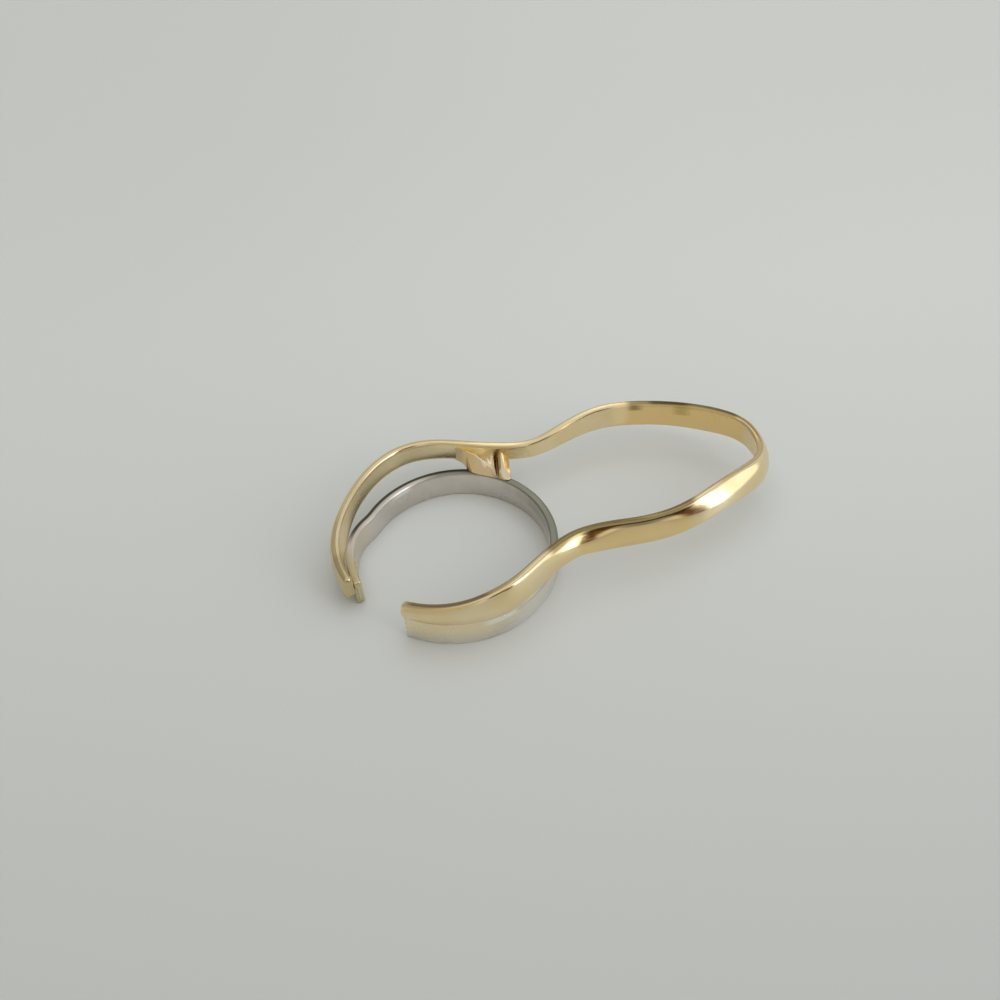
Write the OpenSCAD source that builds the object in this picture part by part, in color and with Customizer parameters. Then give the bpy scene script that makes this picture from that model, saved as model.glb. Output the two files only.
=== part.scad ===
// Open wave ring in two metals, lying on its side.
// A silver band goes most of the way round one finger, and a gold band stands on its rim,
// swells into a wide lobe beside it and comes back along the front.
// The origin is the middle of the finger hole on the floor, +X points to the lobe
// and +Z is the way the finger goes.

/* [Silver band] */
// Radius of the finger hole
finger_r = 8.5; // [8:0.1:9.5]
// Thickness of the silver wall
silver_wall = 0.8; // [0.7:0.05:1]
// Height of the silver band
silver_h = 2.8; // [2.2:0.1:3.4]
// Rounding of the silver rims
silver_round = 0.18; // [0.1:0.02:0.3]
// Direction of the silver end at the right of the gap
gap_right = 237.5; // [236:0.5:246]
// Direction in which the left arm begins to step outward
arm_start = 148.5; // [148:0.5:152]

/* [Gold band] */
// Thickness of the gold band at its rims
gold_wall = 0.85; // [0.7:0.05:1]
// How far the outer face swells beyond the rims
gold_dome = 0.22; // [0.1:0.02:0.35]
// Rounding of the upper outer corner
outer_round = 0.36; // [0.2:0.02:0.4]
// Rounding of the lower outer corner
lower_round = 0.08; // [0.06:0.02:0.3]
// Rounding of the inner corners
inner_round = 0.28; // [0.1:0.02:0.3]
// Width of the gold band round the lobe
lobe_h = 2.8; // [2.2:0.1:3.4]
// Distance from the middle of the finger hole to the middle of the lobe
lobe_x = 19; // [17:0.5:22]
// How far the middle of the lobe lies off the finger hole's own middle
lobe_y = 5.8; // [5:0.2:6.6]

/* [Hidden] */

// Solder seam between the two metals
seam = 0.02;
gold_z = silver_h + seam;
silver_mid = finger_r + silver_wall / 2;

// The left arm of the silver band, a bend a row.
// Columns: radius of the bend along the middle of the wall, the angle it turns,
// 1 for a bend round the finger or -1 for a bend away from it, and how much is trimmed
// off the wall all round, so that bends which overlap share no face.
arm_bends = [
    [6, 11.5, -1, 0.01],
    [5, 38.4, 1, 0],
    [9.5, 27.6, 1, 0.01]
];
// How far each bend reaches back into the one before it
arm_lap = 0.1;

// The gold band follows a smooth curve pulled by these rows, along the top of its inner face.
// Round the finger the columns are direction, distance out from the finger hole, height
// above the silver rim, width of the band from its top edge to its lower edge, and the
// angle by which it leans so that its outer face looks up (its inner face where negative).
front_arm = [
    [225.5, 0.3, 1.32, 1.32, 0],
    [237, 0.1, 1.55, 1.55, 0],
    [250, 0.08, 1.88, 1.88, 0],
    [263, 0.08, 2.2, 2.2, 0],
    [275, 0.08, 2.55, 2.55, 0],
    [287, 0.08, 2.94, 2.9, 3]
];
left_lobe = [
    [82, 1.99, 1.98, 1.96, -6],
    [98, 2.74, 2.12, 2, -14],
    [114, 3.28, 2.15, 1.98, -16],
    [132, 2.84, 2.1, 1.93, -16],
    [152, 2.2, 1.96, 1.86, -14],
    [171, 2.22, 1.9, 1.95, -22],
    [188, 2.14, 1.55, 2.05, -4],
    [205, 1.71, 1.3, 2.45, 0],
    [221, 1.47, 1.05, 2.6, 0]
];
// Beside the finger the columns are x and y from the middle of the lobe, height and width
// as shares of the band's width round the lobe, and the lean.
lobe = [
    [-14.32, -13.04, 1.15, 1.12, 4],
    [-12.48, -11.39, 1.195, 0.98, 6],
    [-10.68, -9.52, 1.145, 0.83, 12],
    [-8.42, -7.78, 1.082, 0.81, 30],
    [-4.95, -7.2, 1.1, 1.01, 8],
    [-2.07, -7.13, 1.072, 1.05, 0],
    [1.4, -6.12, 1.062, 0.89, 18],
    [4.21, -4.32, 1.138, 0.85, 40],
    [7.5, -2.35, 1.186, 0.92, 24],
    [9.42, -0.8, 1.1, 0.91, 12],
    [9.5, 1.58, 0.99, 0.89, 0],
    [8.8, 3.97, 0.992, 0.98, 0],
    [5.88, 5.65, 0.998, 1.06, 0],
    [2.5, 6.75, 0.98, 0.98, 0],
    [-1.1, 7.25, 0.99, 0.99, 0],
    [-4.5, 7.2, 0.97, 0.97, 0],
    [-7.6, 5.72, 0.86, 0.86, 0],
    [-10.9, 3.75, 0.66, 0.66, 0],
    [-14.1, 3.95, 0.65, 0.65, 0]
];

// The gusset that solders the gold band to the silver rim, a slice across it a row.
// Columns: x of the slice, how far out from the finger hole its foot, ridge and back are,
// and the heights of ridge and back above the silver rim.
gusset_rows = [
    [-0.4, 2.45, 2.52, 2.76, 1.5, 1.55],
    [0.4, 1.9, 2.1, 2.54, 1.62, 1.4],
    [1.1, 1.3, 1.65, 2.4, 1.76, 1.1],
    [1.5, 0.5, 1.42, 2.4, 1.78, 0.85],
    [2.15, 0.12, 1.25, 2.4, 1.66, 0.6],
    [2.8, 0.05, 1.05, 2.5, 1.3, 0.6],
    [3.4, 0.05, 0.9, 2.7, 0.85, 0.9],
    [3.95, 0.06, 0.7, 2.9, 0.6, 1.15],
    [4.12, 0.08, 0.6, 3.02, 0.45, 0.9],
    [4.3, 0.1, 0.5, 3.1, 0.12, 0.12],
    [4.45, 0.12, 0.6, 3.17, 0.5, 1],
    [4.8, 0.15, 0.8, 3.28, 0.55, 1.35],
    [5.2, 0.3, 1.1, 3.42, 0.35, 0.9],
    [5.5, 0.6, 1.5, 3.55, 0.15, 0.3]
];
// Height of the upright lip at the gusset's foot
gusset_lip = 0.15;

// Slices of the gold band from one row to the next
slices_a_row = 5;
// Steps in each rounded corner, and across the domed outer face
corner_steps = 3;
dome_steps = 4;
// Direction in which the outer corners hand over to the dome
dome_start = 20;
// Segments of the silver curves, and of their rounded rims
curve_fn = 180;
rim_fn = 48;

silver_color = [0.62, 0.62, 0.61];
gold_color = [0.86, 0.68, 0.36];

function polar(a, r) = [r * cos(a), r * sin(a)];

// The rows turned into x, y, height, width and lean
function round_finger(rows) = [
    for (row = rows) concat(polar(row[0], finger_r + row[1]), row[2], row[3], row[4])
];

function beside_finger(rows) = [
    for (row = rows) [lobe_x + row[0], lobe_y + row[1], lobe_h * row[2], lobe_h * row[3], row[4]]
];

pull = concat(round_finger(front_arm), beside_finger(lobe), round_finger(left_lobe));

// A uniform cubic curve: a point at share t of the way between its second and third rows
function cubic(a, b, c, d, t) =
    (pow(1 - t, 3) * a + (3 * pow(t, 3) - 6 * pow(t, 2) + 4) * b
    + (-3 * pow(t, 3) + 3 * pow(t, 2) + 3 * t + 1) * c + pow(t, 3) * d) / 6;

// The slope of the same curve
function cubic_slope(a, b, c, d, t) =
    (-pow(1 - t, 2) * a + (3 * pow(t, 2) - 4 * t) * b
    + (-3 * pow(t, 2) + 2 * t + 1) * c + pow(t, 2) * d) / 2;

// One row a slice: x, y, height, width, lean, and the outward direction as a unit vector
function route(p) = [
    for (i = [0:len(p) - 4], s = [0:slices_a_row - (i < len(p) - 4 ? 1 : 0)])
        let (
            t = s / slices_a_row,
            at = cubic(p[i], p[i + 1], p[i + 2], p[i + 3], t),
            way = cubic_slope(p[i], p[i + 1], p[i + 2], p[i + 3], t),
            size = norm([way[0], way[1]])
        )
        concat(at, way[1] / size, -way[0] / size)
];

function corner(u, v, r, from, to) = [
    for (i = [0:corner_steps])
        let (a = from + (to - from) * i / corner_steps)
        [u + r * cos(a), v + r * sin(a)]
];

// Outline of the gold band of width w: distance out from the inner face, and height below
// its top edge
function outline(w) = concat(
    corner(inner_round, inner_round - w, inner_round, 270, 180),
    corner(inner_round, -inner_round, inner_round, 180, 90),
    corner(gold_wall - outer_round, -outer_round, outer_round, 90, dome_start),
    [for (i = [1:dome_steps - 1])
        let (v = 1 - 2 * i / dome_steps, mid = (lower_round - outer_round - w) / 2)
        [gold_wall + gold_dome * (1 - v * v), mid - v * (mid + outer_round)]],
    corner(gold_wall - lower_round, lower_round - w, lower_round, -dome_start, -90)
);

// An outline leant outward by angle a about its top inner edge
function leant(points, a) = [
    for (q = points) [q[0] * cos(a) - q[1] * sin(a), q[0] * sin(a) + q[1] * cos(a)]
];

// A closed solid through a row of slices that all have the same number of points
module loft(slices) {
    n = len(slices[0]);
    last = len(slices) - 1;
    points = [for (slice = slices) each slice];
    sides = [
        for (i = [0:last - 1], j = [0:n - 1])
            let (
                k = (j + 1) % n,
                a = i * n + j,
                b = i * n + k,
                c = a + n,
                d = b + n
            )
            each [[a, c, b], [b, c, d]]
    ];
    ends = [[for (j = [0:n - 1]) j], [for (j = [n - 1:-1:0]) last * n + j]];
    polyhedron(points = points, faces = concat(sides, ends));
}

module gold_strip() {
    loft([
        for (r = route(pull))
            [for (q = leant(outline(r[3]), r[4]))
                [r[0] + r[5] * q[0], r[1] + r[6] * q[0], gold_z + r[2] + q[1]]]
    ]);
}

// A point of the gusset at x, a given way out from the finger hole and a given height
function on_rim(x, out, h) = [x, sqrt(pow(finger_r + out, 2) - x * x), gold_z + h];

module gusset() {
    loft([
        for (i = [len(gusset_rows) - 1:-1:0])
            let (g = gusset_rows[i])
            [
                on_rim(g[0], g[1], 0),
                on_rim(g[0], g[1], gusset_lip),
                on_rim(g[0], g[2], g[4]),
                on_rim(g[0], g[3], g[5]),
                on_rim(g[0], g[3], 0)
            ]
    ]);
}

// Section of the silver wall about its middle, with rounded rims
module silver_section(trim = 0) {
    half = silver_wall / 2 - trim;
    flat = half - silver_round;
    low = trim + silver_round;
    high = silver_h - trim - silver_round;
    for (side = [-1, 1], z = [low, high])
        translate([side * flat, z])
            circle(r = silver_round, $fn = rim_fn);
    translate([-half, low])
        square([2 * half, high - low]);
    translate([-flat, trim])
        square([2 * flat, silver_h - 2 * trim]);
}

// A bend of the silver wall that starts at the origin going along +Y
module silver_bend(r, turn, side, trim) {
    lap = arm_lap / r * 180 / PI;
    translate([-side * r, 0, 0])
        rotate([0, 0, side > 0 ? -lap : 180 - turn])
            rotate_extrude(angle = turn + lap, $fn = curve_fn)
                translate([r, 0]) silver_section(trim);
}

// The bends from row i on, each one starting where the last one ends
module silver_arm(i = 0) {
    if (i < len(arm_bends)) {
        r = arm_bends[i][0];
        turn = arm_bends[i][1];
        side = arm_bends[i][2];
        silver_bend(r, turn, side, arm_bends[i][3]);
        translate([-side * r, 0, 0])
            rotate([0, 0, side * turn])
                translate([side * r, 0, 0])
                    silver_arm(i + 1);
    }
}

module silver_band() {
    color(silver_color) {
        rotate([0, 0, gap_right])
            rotate_extrude(angle = 360 - gap_right + arm_start, $fn = curve_fn)
                translate([silver_mid, 0]) silver_section();
        rotate([0, 0, arm_start])
            translate([silver_mid, 0, 0])
                silver_arm();
    }
}

module wave_band() {
    color(gold_color) {
        gold_strip();
        gusset();
    }
}

silver_band();
wave_band();
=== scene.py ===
# Looks of an open wave ring lying on a pale surface.
# A silver band goes most of the way round one finger. A polished gold band stands on its rim,
# swells into a wide lobe beside it and comes back along the front.
import math

import bpy
import numpy as np
from mathutils import Matrix, Vector

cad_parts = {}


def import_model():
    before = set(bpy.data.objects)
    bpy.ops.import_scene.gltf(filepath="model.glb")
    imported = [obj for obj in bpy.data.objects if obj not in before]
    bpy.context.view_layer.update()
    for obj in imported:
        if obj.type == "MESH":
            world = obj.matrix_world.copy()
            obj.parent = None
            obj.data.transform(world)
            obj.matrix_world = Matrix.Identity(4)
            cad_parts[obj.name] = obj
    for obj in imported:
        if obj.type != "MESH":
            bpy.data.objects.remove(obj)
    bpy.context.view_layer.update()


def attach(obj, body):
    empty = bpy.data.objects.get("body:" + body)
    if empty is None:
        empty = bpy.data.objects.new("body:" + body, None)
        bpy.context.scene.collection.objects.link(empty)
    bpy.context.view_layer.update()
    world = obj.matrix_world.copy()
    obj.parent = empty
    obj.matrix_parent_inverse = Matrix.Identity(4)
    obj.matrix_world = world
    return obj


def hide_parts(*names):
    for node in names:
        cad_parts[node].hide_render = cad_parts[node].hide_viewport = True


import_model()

MM = 0.001

# Silver band, in mm
FINGER_R = 8.5
SILVER_WALL = 0.8
SILVER_H = 2.8
SILVER_ROUND = 0.18
# Rounding of the upper outer corner along the band: small where the gold band stands on it
SEAM_PLACES = (0, 6, 10)
SEAM_ROUNDS = (0.05, 0.08, 0.18)
GAP_RIGHT = 237.5
ARM_START = 148.5
# A bend of the left arm a row: radius, angle that it turns, 1 round the finger or -1 away from it
ARM_BENDS = [
    (6, 11.5, -1),
    (5, 38.4, 1),
    (9.5, 27.6, 1),
]

# Gold band, in mm
GOLD_WALL = 0.85
GOLD_DOME = 0.22
OUTER_ROUND = 0.36
LOWER_ROUND = 0.08
DOME_START = 20
INNER_ROUND = 0.28
LOBE_H = 2.8
LOBE_MIDDLE = (19, 5.8)
SEAM = 0.02
GOLD_Z = SILVER_H + SEAM

# Rows that pull the gold band's curve, along the top of its inner face. Round the finger:
# direction, distance out from the finger hole, height above the silver rim, width of the band,
# and the angle by which it leans so that its outer face looks up, its inner face if negative
FRONT_ARM = [
    (225.5, 0.3, 1.32, 1.32, 0),
    (237, 0.1, 1.55, 1.55, 0),
    (250, 0.08, 1.88, 1.88, 0),
    (263, 0.08, 2.2, 2.2, 0),
    (275, 0.08, 2.55, 2.55, 0),
    (287, 0.08, 2.94, 2.9, 3),
]
LEFT_LOBE = [
    (82, 1.99, 1.98, 1.96, -6),
    (98, 2.74, 2.12, 2, -14),
    (114, 3.28, 2.15, 1.98, -16),
    (132, 2.84, 2.1, 1.93, -16),
    (152, 2.2, 1.96, 1.86, -14),
    (171, 2.22, 1.9, 1.95, -22),
    (188, 2.14, 1.55, 2.05, -4),
    (205, 1.71, 1.3, 2.45, 0),
    (221, 1.47, 1.05, 2.6, 0),
]
# Beside the finger: x and y from the middle of the lobe, height and width as shares of
# LOBE_H, and the lean
LOBE = [
    (-14.32, -13.04, 1.15, 1.12, 4),
    (-12.48, -11.39, 1.195, 0.98, 6),
    (-10.68, -9.52, 1.145, 0.83, 12),
    (-8.42, -7.78, 1.082, 0.81, 30),
    (-4.95, -7.2, 1.1, 1.01, 8),
    (-2.07, -7.13, 1.072, 1.05, 0),
    (1.4, -6.12, 1.062, 0.89, 18),
    (4.21, -4.32, 1.138, 0.85, 40),
    (7.5, -2.35, 1.186, 0.92, 24),
    (9.42, -0.8, 1.1, 0.91, 12),
    (9.5, 1.58, 0.99, 0.89, 0),
    (8.8, 3.97, 0.992, 0.98, 0),
    (5.88, 5.65, 0.998, 1.06, 0),
    (2.5, 6.75, 0.98, 0.98, 0),
    (-1.1, 7.25, 0.99, 0.99, 0),
    (-4.5, 7.2, 0.97, 0.97, 0),
    (-7.6, 5.72, 0.86, 0.86, 0),
    (-10.9, 3.75, 0.66, 0.66, 0),
    (-14.1, 3.95, 0.65, 0.65, 0),
]
# Gusset that is soldered to the silver rim, a slice a row: x, how far out from the finger hole
# its foot, ridge and back are, and the heights of ridge and back above the silver rim
GUSSET = [
    (-0.4, 2.45, 2.52, 2.76, 1.5, 1.55),
    (0.4, 1.9, 2.1, 2.54, 1.62, 1.4),
    (1.1, 1.3, 1.65, 2.4, 1.76, 1.1),
    (1.5, 0.5, 1.42, 2.4, 1.78, 0.85),
    (2.15, 0.12, 1.25, 2.4, 1.66, 0.6),
    (2.8, 0.05, 1.05, 2.5, 1.3, 0.6),
    (3.4, 0.05, 0.9, 2.7, 0.85, 0.9),
    (3.95, 0.06, 0.7, 2.9, 0.6, 1.15),
    (4.12, 0.08, 0.6, 3.02, 0.45, 0.9),
    (4.3, 0.1, 0.5, 3.1, 0.12, 0.12),
    (4.45, 0.12, 0.6, 3.17, 0.5, 1),
    (4.8, 0.15, 0.8, 3.28, 0.55, 1.35),
    (5.2, 0.3, 1.1, 3.42, 0.35, 0.9),
    (5.5, 0.6, 1.5, 3.55, 0.15, 0.3),
]
GUSSET_LIP = 0.15
GUSSET_ROUND = 0.22
# A rounded corner takes no more than this share of the edges beside it
EDGE_SHARE = 0.45
GUSSET_END = GUSSET[-1][0]

# Base colours of the floor and the metals; the floor's dim colour is painted shade
FLOOR_PAINTED_SHADE = (0.53, 0.555, 0.56)
GOLD_DEEP = (0.87, 0.69, 0.38)
GOLD_PALE = (0.91, 0.76, 0.49)
SOLDER_DEEP = (0.86, 0.71, 0.44)
SOLDER_PALE = (0.92, 0.81, 0.6)
SILVER_GREY = (0.64, 0.59, 0.54)
SILVER_PALE = (0.76, 0.71, 0.66)
SILVER_DARK = (0.3, 0.29, 0.27)
# The gold wash colour is also painted lighter, standing in for light that the outer face mirrors
WASH_AND_PAINTED_LIGHT = (0.92, 0.8, 0.55)
END_OLIVE = (0.66, 0.56, 0.33)
# Painted light: the outer face is painted brighter
SILVER_PAINTED_BRIGHT = (0.88, 0.86, 0.81)
RIM_DARK_GREY = (0.24, 0.25, 0.21)
RIM_BLACK = (0.05, 0.06, 0.058)

# Colours of painted reflections, highlights and shade on the metal
OLIVE = (0.42, 0.36, 0.2)
OLIVE_WARM = (0.5, 0.36, 0.1)
OLIVE_DARK = (0.28, 0.21, 0.09)
OLIVE_DEEP = (0.14, 0.11, 0.05)
BROWN = (0.32, 0.22, 0.11)
AMBER = (0.9, 0.64, 0.26)
CREAM = (1, 0.88, 0.58)
CREAM_WARM = (1, 0.8, 0.45)
GREY_PAINTED_SHADE = (0.34, 0.34, 0.29)
SILVER_WARM = (0.8, 0.7, 0.52)
SILVER_WHITE = (0.95, 0.94, 0.92)

# A painted reflection, highlight or shade a row. Columns: start and end along the band, start and
# end round it, in mm, and how strongly and in which colour it shows. Round the gold band the middle
# of the upper rim is 0, the inner face is negative and the outer face positive. Round the silver
# band and the gusset the count starts at the lower inner edge and goes up the inner face.
# Painted reflections, highlights and shade on the gold band
GOLD_PAINTED_LIGHT = [
    (14, 28.5, -0.35, 0.7, 0.85, OLIVE_DARK),
    (-1, 0.4, -1, 0.6, 0.8, CREAM),
    (0.6, 7.5, -0.75, 0.1, 0.85, BROWN),
    (7.5, 14, -0.6, -0.2, 0.8, BROWN),
    (41, 52.8, -3, -0.3, 0.75, AMBER),
    (42.2, 53, -0.3, 0.6, 0.8, OLIVE_DARK),
    (46.8, 50.5, -0.25, 0.5, 0.9, OLIVE_DEEP),
    (51.5, 52.6, -0.95, -0.3, 0.8, OLIVE_DARK),
    (46.7, 48, -1.4, -0.3, 0.6, OLIVE_WARM),
    (52.7, 54, -2.6, 0.4, 0.9, CREAM_WARM),
    (53.6, 86, -0.15, 0.3, 0.6, CREAM),
    (63, 84, 0.35, 0.6, 0.75, OLIVE_DARK),
    (66, 90, -3, -0.6, 0.8, CREAM),
    (84, 89, 0.4, 1.7, 0.6, OLIVE),
    (17, 27.5, 0.8, 3.5, 0.5, AMBER),
    (28.8, 31.6, -0.3, 2.6, 0.7, CREAM),
    (89.6, 120, -4, 4, 0.45, OLIVE),
]
# Painted shade on the gusset: dark brown in its recess, deeper gold on its left part
SOLDER_PAINTED_SHADE = [
    (0.95, 1.45, -1, 12, 1, BROWN),
    (3.6, 7, -1, 12, 0.7, GOLD_DEEP),
]
# Painted light on the silver: painted shade on the upper inner face at the right, a painted warm
# reflection of the gold on the inner face, and painted highlights on the inner face and the rim's
# corners
SILVER_PAINTED_LIGHT = [
    (17.5, 24.5, 1.5, 2.95, 0.3, GREY_PAINTED_SHADE),
    (17.5, 26.3, 1.6, 2.95, 0.25, GREY_PAINTED_SHADE),
    (17.5, 27.8, 1.8, 2.95, 0.2, GREY_PAINTED_SHADE),
    (43.5, 53, 0.4, 2.9, 0.5, SILVER_WARM),
    (37.6, 39.5, 2.3, 2.95, 0.8, SILVER_WHITE),
    (7.2, 10, 3.8, 4.4, 0.95, (1, 0.95, 0.84)),
    (16.5, 19.5, 2.5, 3, 0.85, (0.97, 0.97, 0.95)),
]
# How softly a place ends, along the band and round it, in mm
PLACE_EDGES = (0.5, 0.12)

# Round the silver band, in mm: each pair is where a part of it begins to show and shows fully,
# or begins to end and has ended
RIM_BEGINS = (2.75, 2.95)
RIM_EDGE_BEGINS = (3.12, 3.3)
OUTSIDE_BEGINS = (3.3, 3.6)
RIM_ENDS = (3.9, 4.2)
OUTER_FACE_BEGINS = (4, 4.3)
WASH_FADES_DOWN = (4.4, 6.2)
# The same along it, from the right of the gap
WASH_FADES = (6, 11)
PAINTED_BRIGHT_BEGINS = (8, 12)
SIDE_DARKENS = ((12, 17), (34, 37))
BACK_DARKENS = ((29, 32), (44.5, 47))
END_OLIVE_BEGINS = (46.5, 49.5)
# The same round the gold band
GOLD_INNER_FACE_ENDS = (-0.9, -0.4)
# How strongly the gold wash with its painted light, the painted light on the outer face, the olive
# over the end, the darker rim and the scratches show: from and to, or at most
WASH_SHARE = (1, 0.15)
PAINTED_BRIGHT_SHARE = (0.35, 0.8)
END_OLIVE_SHARE = (0, 0.9)
SIDE_DARK_SHARE = 0.9
BACK_DARK_SHARE = 0.92
SCRATCH_SHARE = 0.12

# Clouds in the metal: noise scale and detail
GOLD_CLOUD = (260, 3)
SILVER_CLOUD = (190, 4)
# The part of the clouds over which the first colour goes over into the second
GOLD_MIX = (0.3, 0.7)
SILVER_MIX = (0.35, 0.7)
# How far clouds shift the edges of the places, in mm
GOLD_UNEVEN = 1.2
SILVER_UNEVEN = 0.8

# The part of the clouds over which the roughness rises, its least and its most, and how much
# the scratches, the inner face of the gold and the darker rim add to it
GOLD_ROUGH = (0.3, 0.75, 0.12, 0.19)
SILVER_ROUGH = (0.3, 0.7, 0.24, 0.32)
ROUGHER_GOLD_SCRATCH = 0.08
ROUGHER_SILVER_SCRATCH = 0.06
ROUGHER_INNER_FACE = 0.14
ROUGHER_DARK_RIM = 0.2

# Scratches: how closely they lie along and around the band, how much they drift aside and how
# quickly that changes along it, noise scale and detail, and the part of the noise that shows
SCRATCH_ALONG = 0.5
SCRATCH_AROUND = 9
SCRATCH_DRIFT = 2
DRIFT_ALONG = 0.35
DRIFT_NOISE = (1, 2)
SCRATCH_NOISE = (1.6, 3)
SCRATCH_SHOWS = (0.56, 0.72)

# Small waves in the gold and wear in the silver: noise scale and detail, how much lower a scratch
# is, how strongly they show and how high they are in m
GOLD_WAVES = (120, 1)
GOLD_SCRATCH_HEIGHT = -0.015
GOLD_BUMP = (0.35, 0.0002)
SILVER_WEAR = (600, 2)
SILVER_WEAR_HEIGHT = 0.08
SILVER_SCRATCH_HEIGHT = -0.03
SILVER_BUMP = (0.3, 0.00008)

# How far the ends of the bands are rounded, in mm
GOLD_END_ROUND = 0.32
SILVER_END_ROUND = 0.28

# Fineness of the meshes: mm along the bands, degrees along the silver band's path, and steps
# for an end, a row of the gold curve, a row of the gusset, a corner, a wide corner and the dome
STEP = 0.14
PATH_STEP = 0.25
END_STEPS = 8
CURVE_STEPS = 120
GUSSET_STEPS = 12
CORNER_STEPS = 6
WIDE_CORNER_STEPS = 8
DOME_STEPS = 16
# Steps across the faces and the rims
GOLD_FACE_STEPS = 8
GOLD_RIM_STEPS = 3
SILVER_FACE_STEPS = 12
SILVER_RIM_STEPS = 4
# The point of the gold outline in the middle of its upper rim
GOLD_RIM = 22

# Camera: lens and sensor in mm, the point of the floor in the picture's middle and how far away
# the camera is from it in mm, and how far it is raised and rolled in degrees
LENS = 43.2
SENSOR = 36
LOOK_AT = (4.32, 7.27, 0)
CAMERA_AWAY = 116.1
CAMERA_UP = 47.75
CAMERA_ROLL = -5
# Nothing nearer than this is drawn, in m
CAMERA_NEAREST = 0.005

# Light of the room, seen mirrored in the metal
ROOM_BASE = (0.7, 0.7, 0.68)
# A patch of the room a row: its middle and half width round the horizon in degrees, the lowest
# and highest elevation, softness of its edges, and its light
ROOM = [
    (20, 44, -12, 76, 8, (0.65, 0.66, 0.65)),
    (90, 34, -12, 40, 6, (0.46, 0.46, 0.43)),
    (165, 42, -12, 64, 8, (0.35, 0.34, 0.3)),
    (113, 11, 38, 64, 4, (0.36, 0.33, 0.28)),
    (73, 7, 30, 60, 3, (0.3, 0.26, 0.2)),
    (86, 6, 36, 76, 3, (1.15, 1.12, 1.02)),
    (238, 33, -12, 66, 6, (0.5, 0.44, 0.33)),
    (296, 12, 12, 50, 3, (0.15, 0.085, 0.035)),
    (311, 6, 0, 34, 2, (0.09, 0.03, 0.003)),
    (325, 8, -10, 50, 2, (2.6, 2.6, 2.55)),
    (345, 12, -10, 48, 3, (1.3, 1.3, 1.25)),
]
# Lamp over the floor, in m and W
OVERHEAD_AT = (0.05, 0.05, 1)
OVERHEAD_TO = (0.008, 0, 0)
OVERHEAD_SIZE = 1.3
OVERHEAD_POWER = 2.46

# Floor, in m, its two pale colours and the noise that mixes them, and where painted shade dims its
# paint, standing in for light falling off: axis, from, to, and the share of the painted shade colour
# at both
FLOOR_SIZE = 3
FLOOR_PALE = ((0.765, 0.8, 0.81), (0.78, 0.815, 0.825))
FLOOR_CLOUD = (14, 3)
FLOOR_ROUGH = 0.5
FLOOR_PAINTED_FALLOFF = [
    ("Y", -0.09, 0.045, 1, 0),
    ("Y", 0.02, 0.09, 0, 0.13),
    ("X", -0.05, 0.05, 0.26, 0),
]


def polar(angle, radius):
    """The x and y of a direction and a distance from the middle."""
    a = math.radians(angle)
    return radius * math.cos(a), radius * math.sin(a)


def gold_pull():
    """The rows that pull the gold band's curve: x, y, top, width, lean."""
    rows = []
    for a, out, top, width, lean in FRONT_ARM:
        rows.append((*polar(a, FINGER_R + out), top, width, lean))
    for x, y, top, width, lean in LOBE:
        rows.append((LOBE_MIDDLE[0] + x, LOBE_MIDDLE[1] + y, top * LOBE_H, width * LOBE_H, lean))
    for a, out, top, width, lean in LEFT_LOBE:
        rows.append((*polar(a, FINGER_R + out), top, width, lean))
    return np.array(rows)


def smooth_curve(rows):
    """A uniform cubic curve through the pull of the rows, and its slope."""
    points = []
    slopes = []
    for i in range(len(rows) - 3):
        a, b, c, d = rows[i:i + 4]
        last = i == len(rows) - 4
        for t in np.linspace(0, 1, CURVE_STEPS + 1)[:None if last else -1]:
            points.append(((1 - t) ** 3 * a + (3 * t ** 3 - 6 * t ** 2 + 4) * b
                           + (-3 * t ** 3 + 3 * t ** 2 + 3 * t + 1) * c + t ** 3 * d) / 6)
            slopes.append((-(1 - t) ** 2 * a + (3 * t ** 2 - 4 * t) * b
                           + (-3 * t ** 2 + 2 * t + 1) * c + t ** 2 * d) / 2)
    return np.array(points), np.array(slopes)


def lengths(xy):
    """How far along a path each of its points lies."""
    return np.concatenate([[0], np.cumsum(np.linalg.norm(np.diff(xy, axis=0), axis=1))])


def stations(total, end_round):
    """Places along a band, close together on the rounded ends, and how far each is drawn in."""
    turn = np.linspace(0, math.pi / 2, END_STEPS + 1)
    start = end_round * (1 - np.cos(turn))
    middle = np.linspace(end_round, total - end_round, int(total / STEP))[1:-1]
    places = np.concatenate([start, middle, total - start[::-1]])
    left = np.minimum(np.minimum(places, total - places), end_round)
    drawn_in = end_round - np.sqrt(np.maximum(end_round ** 2 - (end_round - left) ** 2, 0))
    return places, drawn_in


def arc(u, v, r, start, stop, steps):
    """Points of an arc, both ends included."""
    a = np.radians(np.linspace(start, stop, steps + 1))
    return np.stack([u + r * np.cos(a), v + r * np.sin(a)], 1)


def line(a, b, steps):
    """Points between a and b, without the two ends."""
    t = np.linspace(0, 1, steps + 1)[1:-1, None]
    return np.array(a) * (1 - t) + np.array(b) * t


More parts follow.
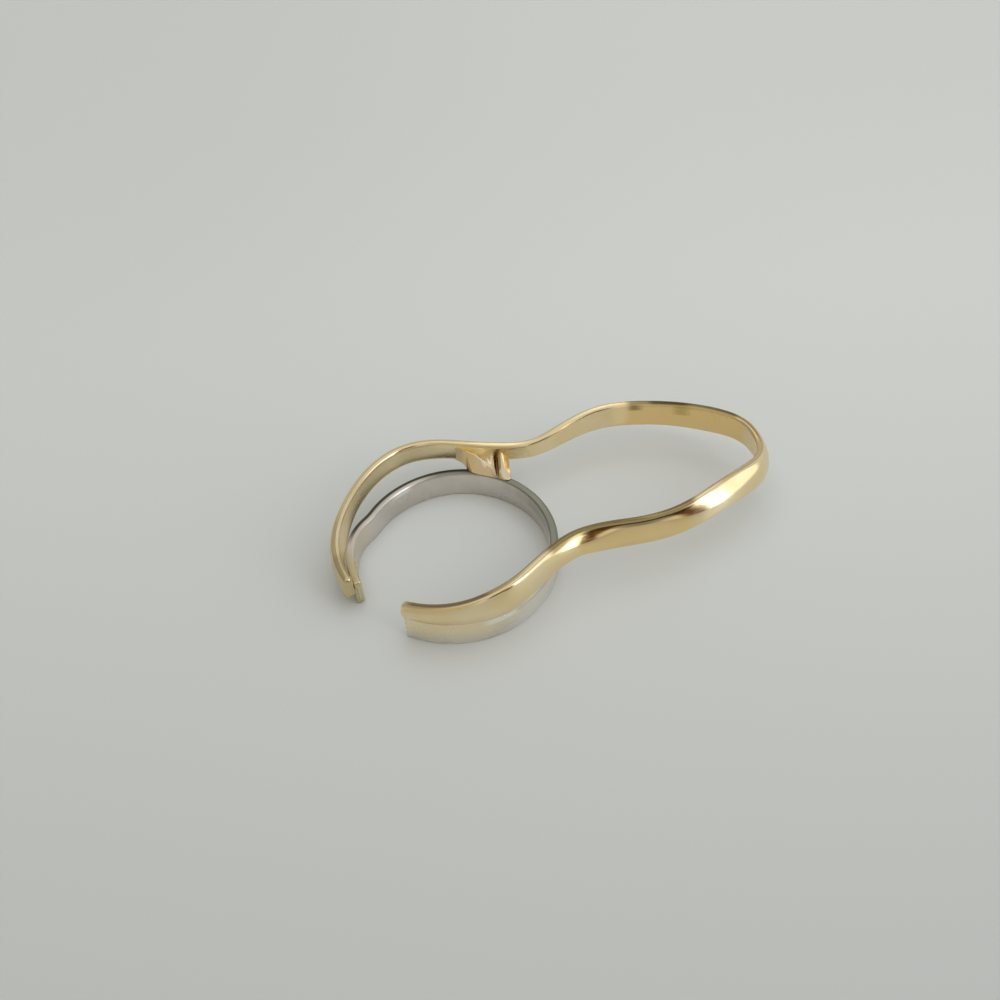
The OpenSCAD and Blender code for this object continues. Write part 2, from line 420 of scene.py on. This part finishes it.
def gold_outline(width, inset):
    """Outline of the gold band: distance out from the inner face, and down from its top edge."""
    ri = INNER_ROUND
    ro = OUTER_ROUND
    rl = LOWER_ROUND
    low = arc(ri, ri, ri, 270, 180, CORNER_STEPS)
    high = arc(ri, width - ri, ri, 180, 90, CORNER_STEPS)
    over = arc(GOLD_WALL - ro, width - ro, ro, 90, DOME_START, WIDE_CORNER_STEPS)
    under = arc(GOLD_WALL - rl, rl, rl, -DOME_START, -90, WIDE_CORNER_STEPS)
    share = np.linspace(1, -1, DOME_STEPS + 1)[1:-1, None]
    dome = (over[-1] * (1 + share) + under[0] * (1 - share)) / 2
    dome[:, 0] += (GOLD_WALL + GOLD_DOME - (over[-1, 0] + under[0, 0]) / 2) * (1 - share[:, 0] ** 2)
    points = np.concatenate([low, line(low[-1], high[0], GOLD_FACE_STEPS),
                             high, line(high[-1], over[0], GOLD_RIM_STEPS),
                             over, dome, under, line(under[-1], low[0], GOLD_RIM_STEPS)])
    middle = np.array([(GOLD_WALL + GOLD_DOME) / 2, width / 2])
    points = middle + (points - middle) * (1 - inset / middle)
    return points - (0, width)


def silver_outline(height, inset, top_round):
    """Outline of the silver wall: distance out from the inner face, and height."""
    r = SILVER_ROUND
    w = SILVER_WALL
    t = top_round
    a = arc(r, r, r, 270, 180, CORNER_STEPS)
    b = arc(r, height - r, r, 180, 90, CORNER_STEPS)
    c = arc(w - t, height - t, t, 90, 0, CORNER_STEPS)
    d = arc(w - r, r, r, 0, -90, CORNER_STEPS)
    points = np.concatenate([a, line(a[-1], b[0], SILVER_FACE_STEPS),
                             b, line(b[-1], c[0], SILVER_RIM_STEPS),
                             c, line(c[-1], d[0], SILVER_FACE_STEPS),
                             d, line(d[-1], a[0], SILVER_RIM_STEPS)])
    middle = np.array([w / 2, height / 2])
    return middle + (points - middle) * (1 - inset / middle)


def skin(name, rings, along, rim=0):
    """A closed mesh through rings of points, in mm. Each point keeps its place along the band,
    and round the band from the point that rim counts."""
    rings = np.array(rings)
    count, around = rings.shape[:2]
    faces = []
    for i in range(count - 1):
        for j in range(around):
            k = (j + 1) % around
            faces.append((i * around + k, (i + 1) * around + k,
                          (i + 1) * around + j, i * around + j))
    faces.append(tuple(range(around)))
    faces.append(tuple((count - 1) * around + j for j in range(around - 1, -1, -1)))
    mesh = bpy.data.meshes.new(name)
    mesh.from_pydata((rings.reshape(-1, 3) * MM).tolist(), [], faces)
    side = np.linalg.norm(np.roll(rings, -1, 1) - rings, axis=2)
    round_place = np.concatenate([np.zeros((count, 1)), np.cumsum(side, 1)[:, :-1]], 1)
    round_place -= round_place[:, rim:rim + 1]
    for key, values in (("along", np.repeat(along, around)), ("around", round_place.reshape(-1))):
        layer = mesh.attributes.new(key, "FLOAT", "POINT")
        layer.data.foreach_set("value", np.asarray(values, np.float32))

    # The two end caps stay flat
    mesh.shade_smooth()
    for cap in (-2, -1):
        mesh.polygons[cap].use_smooth = False
    obj = bpy.data.objects.new(name, mesh)
    bpy.context.scene.collection.objects.link(obj)
    return obj


def gold_band():
    """The outline of the gold band, carried along its curve and leant there."""
    points, slopes = smooth_curve(gold_pull())
    out = np.stack([slopes[:, 1], -slopes[:, 0]], 1)
    out /= np.linalg.norm(out, axis=1)[:, None]
    s = lengths(points[:, :2])
    places, drawn_in = stations(s[-1], GOLD_END_ROUND)
    rings = []
    for place, inset in zip(places, drawn_in):
        x, y, top, width, lean = [np.interp(place, s, points[:, k]) for k in range(5)]
        ox, oy = [np.interp(place, s, out[:, k]) for k in range(2)]
        section = gold_outline(width, inset)
        a = math.radians(lean)
        away = section[:, 0] * math.cos(a) - section[:, 1] * math.sin(a)
        up = section[:, 0] * math.sin(a) + section[:, 1] * math.cos(a)
        rings.append(np.stack([x + ox * away, y + oy * away, GOLD_Z + top + up], 1))
    return skin("wave_band_polished", rings, places, GOLD_RIM)


def silver_path():
    """Middle of the silver wall from the right of the gap to the left arm's end, and the way out."""
    middle = FINGER_R + SILVER_WALL / 2
    points = []
    outs = []
    for a in np.arange(GAP_RIGHT, 360 + ARM_START, PATH_STEP):
        points.append(polar(a, middle))
        outs.append(polar(a, 1))
    at = np.array(polar(ARM_START, middle))
    heading = ARM_START + 90
    for r, turn, side in ARM_BENDS:
        centre = at + np.array(polar(heading + 90 * side, r))
        for t in np.arange(0, turn, PATH_STEP):
            away = polar(heading - 90 * side + side * t, 1)
            points.append(centre + r * np.array(away))
            outs.append(np.array(away) * side)
        heading += side * turn
        at = centre + r * np.array(polar(heading - 90 * side, 1))
    points.append(at)
    outs.append(polar(heading - 90, 1))
    return np.array(points), np.array(outs)


def silver_band():
    """The outline of the silver wall, carried along its path."""
    points, outs = silver_path()
    s = lengths(points)
    places, drawn_in = stations(s[-1], SILVER_END_ROUND)
    rings = []
    for place, inset in zip(places, drawn_in):
        x, y = [np.interp(place, s, points[:, k]) for k in range(2)]
        ox, oy = [np.interp(place, s, outs[:, k]) for k in range(2)]
        top_round = np.interp(place, SEAM_PLACES, SEAM_ROUNDS)
        section = silver_outline(SILVER_H, inset, top_round)
        u = section[:, 0] - SILVER_WALL / 2
        rings.append(np.stack([x + ox * u, y + oy * u, section[:, 1]], 1))
    return skin("silver_band_worn", rings, places)


def through(rows, steps):
    """Smooth steps through rows by rising first column, which never swing past a row."""
    rows = np.array(rows, float)
    x = rows[:, 0]
    gap = np.diff(x)[:, None]
    slope = np.diff(rows, axis=0) / gap
    pull = np.zeros_like(rows)
    same_way = slope[1:] * slope[:-1] > 0
    w1 = 2 * gap[1:] + gap[:-1]
    w2 = gap[1:] + 2 * gap[:-1]
    safe = np.where(same_way, slope[:-1], 1), np.where(same_way, slope[1:], 1)
    pull[1:-1] = np.where(same_way, (w1 + w2) / (w1 / safe[0] + w2 / safe[1]), 0)
    pull[0], pull[-1] = slope[0], slope[-1]
    out = []
    for i in range(len(rows) - 1):
        for t in np.arange(steps) / steps:
            out.append((1 + 2 * t) * (1 - t) ** 2 * rows[i] + t * (1 - t) ** 2 * gap[i] * pull[i]
                       + t * t * (3 - 2 * t) * rows[i + 1] + t * t * (t - 1) * gap[i] * pull[i + 1])
    out.append(rows[-1])
    return np.array(out)


def rounded(corners, radius):
    """A closed outline with each corner cut to a curve."""
    corners = np.array(corners, float)
    out = []
    for i, corner in enumerate(corners):
        before = corners[i - 1] - corner
        after = corners[(i + 1) % len(corners)] - corner
        long_a = np.linalg.norm(before)
        long_b = np.linalg.norm(after)
        for_a = min(radius, EDGE_SHARE * long_a) / max(long_a, 1e-6)
        for_b = min(radius, EDGE_SHARE * long_b) / max(long_b, 1e-6)
        for t in np.linspace(0, 1, CORNER_STEPS):
            out.append(corner + before * for_a * (1 - t) ** 2 + after * for_b * t * t)
    return np.array(out)


def gusset():
    """Slices of the gusset, from its right end to the left. They curve with the silver rim."""
    rings = []
    places = []
    for x, foot, ridge, back, ridge_h, back_h in through(GUSSET, GUSSET_STEPS)[::-1]:
        corners = [(foot, 0), (foot, GUSSET_LIP), (ridge, ridge_h), (back, back_h), (back, 0)]
        ring = []
        for o, h in rounded(corners, GUSSET_ROUND):
            ring.append((x, math.sqrt((FINGER_R + o) ** 2 - x * x), GOLD_Z + h))
        rings.append(ring)
        places.append(GUSSET_END - x)
    return skin("gusset_soldered", rings, places)


class Nodes:
    """A tree of nodes and short ways to add to it. A value is a number or another node's output."""

    def __init__(self, tree):
        self.tree = tree

    def add(self, kind):
        return self.tree.nodes.new(kind)

    def link(self, source, socket):
        self.tree.links.new(source, socket)

    def give(self, socket, value):
        if isinstance(value, bpy.types.NodeSocket):
            self.link(value, socket)
        elif value is not None:
            socket.default_value = value

    def sum_up(self, operation, a, b=None, c=None):
        node = self.add("ShaderNodeMath")
        node.operation = operation
        for socket, value in zip(node.inputs, (a, b, c)):
            self.give(socket, value)
        return node.outputs[0]

    def product(self, *values):
        result = values[0]
        for value in values[1:]:
            result = self.sum_up("MULTIPLY", result, value)
        return result

    def spread(self, value, low, high, to_low=0, to_high=1):
        """Goes smoothly from to_low to to_high while the value goes from low to high."""
        node = self.add("ShaderNodeMapRange")
        node.interpolation_type = "SMOOTHSTEP"
        self.link(value, node.inputs["Value"])
        for key, number in (("From Min", low), ("From Max", high),
                            ("To Min", to_low), ("To Max", to_high)):
            node.inputs[key].default_value = number
        return node.outputs["Result"]

    def between(self, value, rise, fall):
        """1 between two limits, each given as where it begins and ends to change."""
        return self.product(self.spread(value, *rise), self.spread(value, *fall, 1, 0))

    def blend(self, share, a, b):
        node = self.add("ShaderNodeMix")
        node.data_type = "RGBA"
        self.give(node.inputs[0], share)
        self.give(node.inputs[6], (*a, 1) if isinstance(a, tuple) else a)
        self.give(node.inputs[7], (*b, 1) if isinstance(b, tuple) else b)
        return node.outputs[2]


class Shader(Nodes):
    """A principled material and short ways to add nodes to it."""

    def __init__(self, name):
        self.mat = bpy.data.materials.new(name)
        self.mat.use_nodes = True
        super().__init__(self.mat.node_tree)
        self.tree.nodes.clear()
        out = self.add("ShaderNodeOutputMaterial")
        self.bsdf = self.add("ShaderNodeBsdfPrincipled")
        self.link(self.bsdf.outputs["BSDF"], out.inputs["Surface"])

    def attribute(self, name):
        node = self.add("ShaderNodeAttribute")
        node.attribute_name = name
        return node.outputs["Fac"]

    def place(self, along, around):
        """A place on the metal's skin, from scaled lengths along and around the band."""
        node = self.add("ShaderNodeCombineXYZ")
        self.give(node.inputs[0], along)
        self.give(node.inputs[1], around)
        return node.outputs[0]

    def noise(self, scale, detail, where=None):
        node = self.add("ShaderNodeTexNoise")
        node.inputs["Scale"].default_value = scale
        node.inputs["Detail"].default_value = detail
        if where is None:
            where = self.add("ShaderNodeTexCoord").outputs["Object"]
        self.link(where, node.inputs["Vector"])
        return node.outputs["Fac"]

    def bump(self, height, strength, depth):
        node = self.add("ShaderNodeBump")
        node.inputs["Strength"].default_value = strength
        node.inputs["Distance"].default_value = depth
        self.link(height, node.inputs["Height"])
        self.link(node.outputs[0], self.bsdf.inputs["Normal"])

    def finish_metal(self, colour, rough):
        self.link(colour, self.bsdf.inputs["Base Color"])
        self.bsdf.inputs["Metallic"].default_value = 1
        self.link(rough, self.bsdf.inputs["Roughness"])


def paint_light_places(metal, colour, places, along, around):
    """Lays painted reflections, highlights and shade over a colour."""
    soft_along, soft_around = PLACE_EDGES
    for start, end, inner, outer, strength, tint in places:
        lengthwise = metal.between(along, (start - soft_along, start + soft_along),
                                   (end - soft_along, end + soft_along))
        across = metal.between(around, (inner - soft_around, inner + soft_around),
                               (outer - soft_around, outer + soft_around))
        colour = metal.blend(metal.product(lengthwise, across, strength), colour, tint)
    return colour


def scratches(metal, along, around):
    """Fine lines that run along the band, 0 where the metal is smooth."""
    drift = metal.noise(*DRIFT_NOISE, metal.place(metal.product(along, DRIFT_ALONG), around))
    across = metal.product(around, SCRATCH_AROUND)
    lines = metal.place(metal.product(along, SCRATCH_ALONG),
                        metal.sum_up("MULTIPLY_ADD", drift, SCRATCH_DRIFT, across))
    return metal.spread(metal.noise(*SCRATCH_NOISE, lines), *SCRATCH_SHOWS)


def uneven(metal, value, cloud, amount):
    """A place along or round the band, shifted by the cloud so that edges there are uneven."""
    return metal.sum_up("ADD", value, metal.sum_up("MULTIPLY_ADD", cloud, amount, -amount / 2))


def gold_material(name, deep, pale, places):
    """Polished gold from deep to pale, with painted reflections, highlights and shade."""
    metal = Shader(name)
    along = metal.attribute("along")
    around = metal.attribute("around")
    lines = scratches(metal, along, around)
    cloud = metal.noise(*GOLD_CLOUD)
    wave = metal.noise(*GOLD_WAVES)
    colour = metal.blend(metal.spread(cloud, *GOLD_MIX), deep, pale)
    # Painted reflections, highlights and shade over the gold
    colour = paint_light_places(metal, colour, places, uneven(metal, along, cloud, GOLD_UNEVEN), around)

    # The inner face is a little rougher
    rough = metal.spread(cloud, *GOLD_ROUGH)
    rough = metal.sum_up("MULTIPLY_ADD", lines, ROUGHER_GOLD_SCRATCH, rough)
    inner_face = metal.spread(around, *GOLD_INNER_FACE_ENDS, 1, 0)
    rough = metal.sum_up("MULTIPLY_ADD", inner_face, ROUGHER_INNER_FACE, rough)
    metal.finish_metal(colour, rough)
    height = metal.sum_up("MULTIPLY_ADD", lines, GOLD_SCRATCH_HEIGHT, wave)
    metal.bump(height, *GOLD_BUMP)
    return metal.mat


def silver_material():
    """Worn silver, washed with gold near the gap and painted lighter there and on its outer face,
    olive over the left end, darker on its upper rim, and with painted reflections, highlights and
    shade.
    """
    metal = Shader("worn_silver_painted_light")
    along = metal.attribute("along")
    around = metal.attribute("around")
    lines = scratches(metal, along, around)
    cloud = metal.noise(*SILVER_CLOUD)
    wear = metal.noise(*SILVER_WEAR)
    loose_along = uneven(metal, along, cloud, SILVER_UNEVEN)
    loose_around = uneven(metal, around, cloud, SILVER_UNEVEN)
    colour = metal.blend(metal.spread(cloud, *SILVER_MIX), SILVER_GREY, SILVER_PALE)
    colour = metal.blend(metal.product(lines, SCRATCH_SHARE), colour, SILVER_DARK)

    # The outer face is painted lighter than the inner face, least near the gap: painted light that
    # stands in for light it mirrors
    painted_bright = metal.product(metal.spread(around, *OUTER_FACE_BEGINS),
                           metal.spread(along, *PAINTED_BRIGHT_BEGINS, *PAINTED_BRIGHT_SHARE))
    colour = metal.blend(painted_bright, colour, SILVER_PAINTED_BRIGHT)

    # Gold wash that runs down the outer face near the gap, painted lighter to stand in for light it
    # mirrors, and an olive gold colour over the left end
    wash_and_light = metal.product(metal.spread(around, *OUTSIDE_BEGINS),
                         metal.spread(loose_around, *WASH_FADES_DOWN, *WASH_SHARE),
                         metal.spread(loose_along, *WASH_FADES, *WASH_SHARE))
    colour = metal.blend(wash_and_light, colour, WASH_AND_PAINTED_LIGHT)
    end_olive = metal.spread(loose_along, *END_OLIVE_BEGINS, *END_OLIVE_SHARE)
    colour = metal.blend(end_olive, colour, END_OLIVE)
    # Painted shade, reflection and highlights over the silver
    colour = paint_light_places(metal, colour, SILVER_PAINTED_LIGHT, loose_along, around)

    # Darker on the upper rim, darkest along its outer edge behind the finger
    rim = metal.between(around, RIM_BEGINS, RIM_ENDS)
    edge = metal.product(metal.spread(around, *RIM_EDGE_BEGINS), rim)
    side = metal.product(rim, metal.between(along, *SIDE_DARKENS))
    behind = metal.product(edge, metal.between(along, *BACK_DARKENS))
    colour = metal.blend(metal.product(side, SIDE_DARK_SHARE), colour, RIM_DARK_GREY)
    colour = metal.blend(metal.product(behind, BACK_DARK_SHARE), colour, RIM_BLACK)

    rough = metal.spread(cloud, *SILVER_ROUGH)
    rough = metal.sum_up("MULTIPLY_ADD", lines, ROUGHER_SILVER_SCRATCH, rough)
    rough = metal.sum_up("MULTIPLY_ADD", behind, ROUGHER_DARK_RIM, rough)
    metal.finish_metal(colour, rough)
    height = metal.sum_up("MULTIPLY_ADD", lines, SILVER_SCRATCH_HEIGHT,
                          metal.product(wear, SILVER_WEAR_HEIGHT))
    metal.bump(height, *SILVER_BUMP)
    return metal.mat


gold = gold_material("polished_gold", GOLD_DEEP, GOLD_PALE, GOLD_PAINTED_LIGHT)
solder = gold_material("solder_gold", SOLDER_DEEP, SOLDER_PALE, SOLDER_PAINTED_SHADE)
silver = silver_material()

band = gold_band()
band.data.materials.append(gold)
lap = gusset()
lap.data.materials.append(solder)
ring = silver_band()
ring.data.materials.append(silver)
for piece in (band, lap, ring):
    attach(piece, "root")
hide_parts("wave_band")
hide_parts("wave_band")
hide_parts("silver_band")


def floor():
    """A pale painted surface with painted shade, a little dimmer towards the front, the left and the
    far side, standing in for light falling off.
    """
    bpy.ops.mesh.primitive_plane_add(size=FLOOR_SIZE)
    obj = bpy.context.object
    obj.name = "floor"
    paint = Shader("pale_paint")
    parts = paint.add("ShaderNodeSeparateXYZ")
    paint.link(paint.add("ShaderNodeTexCoord").outputs["Object"], parts.inputs[0])
    colour = paint.blend(paint.noise(*FLOOR_CLOUD), *FLOOR_PALE)
    # Painted shade, standing in for light that falls off across the floor
    for axis, *fade in FLOOR_PAINTED_FALLOFF:
        colour = paint.blend(paint.spread(parts.outputs[axis], *fade), colour, FLOOR_PAINTED_SHADE)
    paint.link(colour, paint.bsdf.inputs["Base Color"])
    paint.bsdf.inputs["Roughness"].default_value = FLOOR_ROUGH
    obj.data.materials.append(paint.mat)


def overhead_light():
    """Lights the floor softly. The metal mirrors the room instead of this lamp."""
    data = bpy.data.lights.new("overhead", "AREA")
    data.shape = "DISK"
    data.size = OVERHEAD_SIZE
    data.energy = OVERHEAD_POWER
    obj = bpy.data.objects.new("overhead", data)
    bpy.context.scene.collection.objects.link(obj)
    obj.visible_glossy = False
    obj.location = OVERHEAD_AT
    aim = Vector(OVERHEAD_TO) - Vector(OVERHEAD_AT)
    obj.rotation_euler = aim.to_track_quat("-Z", "Y").to_euler()


def world():
    """A pale room: a window at the right, darker corners, seen mirrored in the metal."""
    room = bpy.data.worlds.new("soft_room")
    bpy.context.scene.world = room
    room.use_nodes = True
    sky = Nodes(room.node_tree)
    direction = sky.add("ShaderNodeTexCoord").outputs["Generated"]
    split = sky.add("ShaderNodeSeparateXYZ")
    sky.link(direction, split.inputs[0])
    elevation = sky.sum_up("ARCSINE", split.outputs["Z"])
    colour = ROOM_BASE
    for middle, half, low, high, soft, light in ROOM:
        turn = sky.add("ShaderNodeVectorRotate")
        turn.rotation_type = "Z_AXIS"
        turn.inputs["Angle"].default_value = -math.radians(middle)
        sky.link(direction, turn.inputs["Vector"])

        # How far a direction is aside of the patch's middle, round the horizon
        parts = sky.add("ShaderNodeSeparateXYZ")
        sky.link(turn.outputs[0], parts.inputs[0])
        aside = sky.sum_up("ABSOLUTE", sky.sum_up("ARCTAN2", parts.outputs["Y"], parts.outputs["X"]))
        side, bottom, top = [(math.radians(edge - soft), math.radians(edge + soft))
                             for edge in (half, low, high)]
        patch = sky.product(sky.spread(aside, *side, 1, 0), sky.between(elevation, bottom, top))
        colour = sky.blend(patch, colour, light)
    sky.link(colour, sky.tree.nodes["Background"].inputs["Color"])


def camera():
    """Looks down at the ring from the front."""
    data = bpy.data.cameras.new("camera")
    data.lens = LENS
    data.sensor_width = SENSOR
    data.sensor_fit = "AUTO"
    data.clip_start = CAMERA_NEAREST
    obj = bpy.data.objects.new("camera", data)
    bpy.context.scene.collection.objects.link(obj)
    up = math.radians(CAMERA_UP)
    forward = Vector((0, math.cos(up), -math.sin(up)))
    right = Vector((1, 0, 0))
    upward = right.cross(forward)
    roll = math.radians(CAMERA_ROLL)
    right_rolled = math.cos(roll) * right + math.sin(roll) * upward
    up_rolled = -math.sin(roll) * right + math.cos(roll) * upward
    place = (Vector(LOOK_AT) - forward * CAMERA_AWAY) * MM
    turn = Matrix((right_rolled, up_rolled, -forward)).transposed().to_4x4()
    obj.matrix_world = Matrix.Translation(place) @ turn
    bpy.context.scene.camera = obj


floor()
world()
overhead_light()
camera()
bpy.context.scene.view_settings.view_transform = "Standard"
